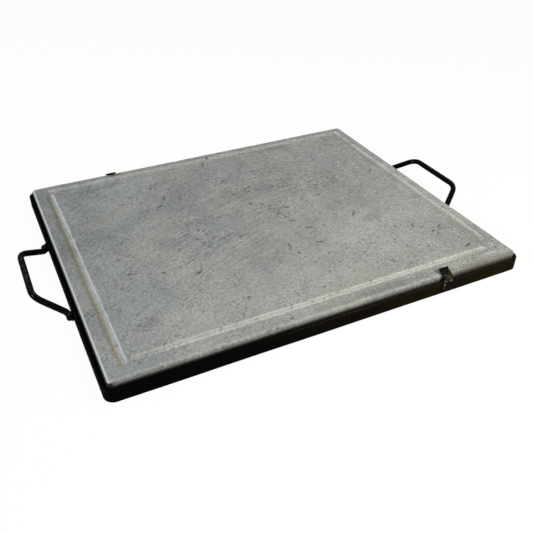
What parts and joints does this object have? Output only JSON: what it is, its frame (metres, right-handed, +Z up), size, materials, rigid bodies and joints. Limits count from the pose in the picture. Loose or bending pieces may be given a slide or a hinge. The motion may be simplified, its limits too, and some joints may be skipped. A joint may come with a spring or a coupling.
{
  "type": "camp griddle plate",
  "caption": "Rectangular stone cooking slab with a juice groove, seated in a low steel frame with bent rod handles and sprung retaining clips.",
  "frame": {"origin": "middle of the frame's underside, on the surface it stands on", "axes": "+X along the long side towards the right handle, +Y from the front clip's side to the rear, +Z up through the cooking face"},
  "size_m": [0.4694, 0.3416, 0.023],
  "materials": {
    "stone": "honed grey soapstone, with flecks and faint saw streaks",
    "frame_paint": "semi-gloss black heat-proof paint",
    "ledge_paint": "matt black heat-proof paint",
    "handle_paint": "gloss black heat-proof paint",
    "weld_paint": "gloss black paint over a weld bead",
    "clip_steel": "blackened spring strip, browned by heat"
  },
  "bodies": {
    "framed_slab": {"stone_slab": "stone", "rim_band": "frame_paint", "front_ledge": "ledge_paint", "rear_ledge": "ledge_paint", "left_ledge": "ledge_paint", "right_ledge": "ledge_paint", "left_handle": "handle_paint", "right_handle": "handle_paint", "left_handle_welds": "weld_paint", "right_handle_welds": "weld_paint", "front_clip_weld": "weld_paint", "rear_clip_weld": "weld_paint"},
    "front_clip": {"front_clip": "clip_steel"},
    "rear_clip": {"rear_clip": "clip_steel"}
  },
  "joints": [
    {"name": "front_clip_spring", "type": "hinge", "parent": "framed_slab", "child": "front_clip", "pos_m": [0.116, -0.1708, 0.0035], "axis": [1, 0, 0], "range_deg": [0, 22], "stiffness_Nm_per_rad": 0.5},
    {"name": "rear_clip_spring", "type": "hinge", "parent": "framed_slab", "child": "rear_clip", "pos_m": [-0.11, 0.1708, 0.0035], "axis": [-1, 0, 0], "range_deg": [0, 22], "stiffness_Nm_per_rad": 0.5}
  ]
}
